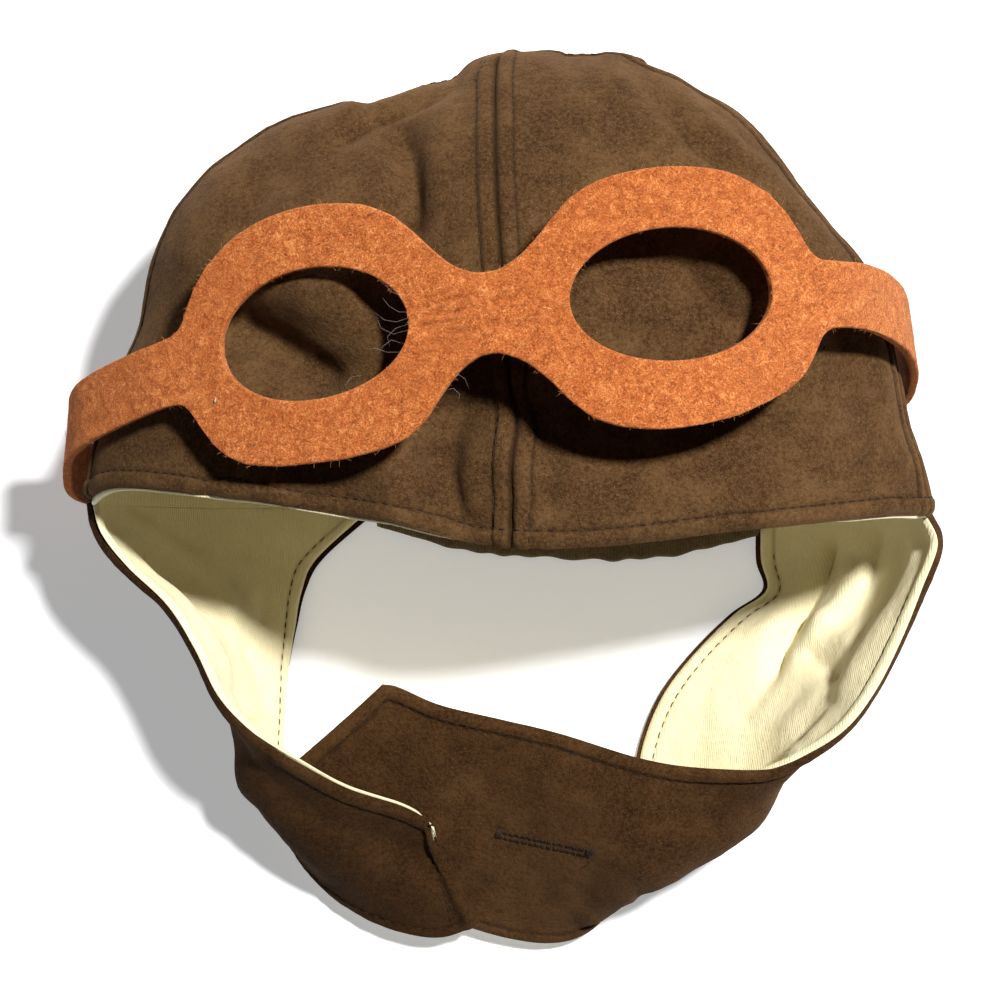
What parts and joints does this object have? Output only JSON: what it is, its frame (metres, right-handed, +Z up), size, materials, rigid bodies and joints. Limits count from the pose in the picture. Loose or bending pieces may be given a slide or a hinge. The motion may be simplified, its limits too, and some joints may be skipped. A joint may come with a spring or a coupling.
{
  "type": "aviator hat",
  "caption": "Soft child's aviator hat lying on its back, ear flaps fastened under the chin, with felt goggles on a strap round the crown.",
  "frame": {"origin": "on the surface that the hat lies on, below the middle of its bounding box", "axes": "+Z up, out of the hat's front; +Y towards the top of the crown; +X towards the wearer's left ear"},
  "size_m": [0.2084, 0.2158, 0.1128],
  "materials": {
    "brown_suede": "brushed microsuede, matt",
    "cream_cotton": "fine ribbed cotton, matt",
    "orange_felt": "pressed wool felt, matt"
  },
  "bodies": {
    "root": {"front_panel_left": "brown_suede", "front_panel_right": "brown_suede", "back_panel_right": "brown_suede", "back_panel_left": "brown_suede", "crown_lining": "cream_cotton", "neck_casing": "cream_cotton", "earflap_right": "brown_suede", "earflap_left": "brown_suede", "earflap_lining_right": "cream_cotton", "earflap_lining_left": "cream_cotton", "goggles": "orange_felt"}
  },
  "joints": []
}
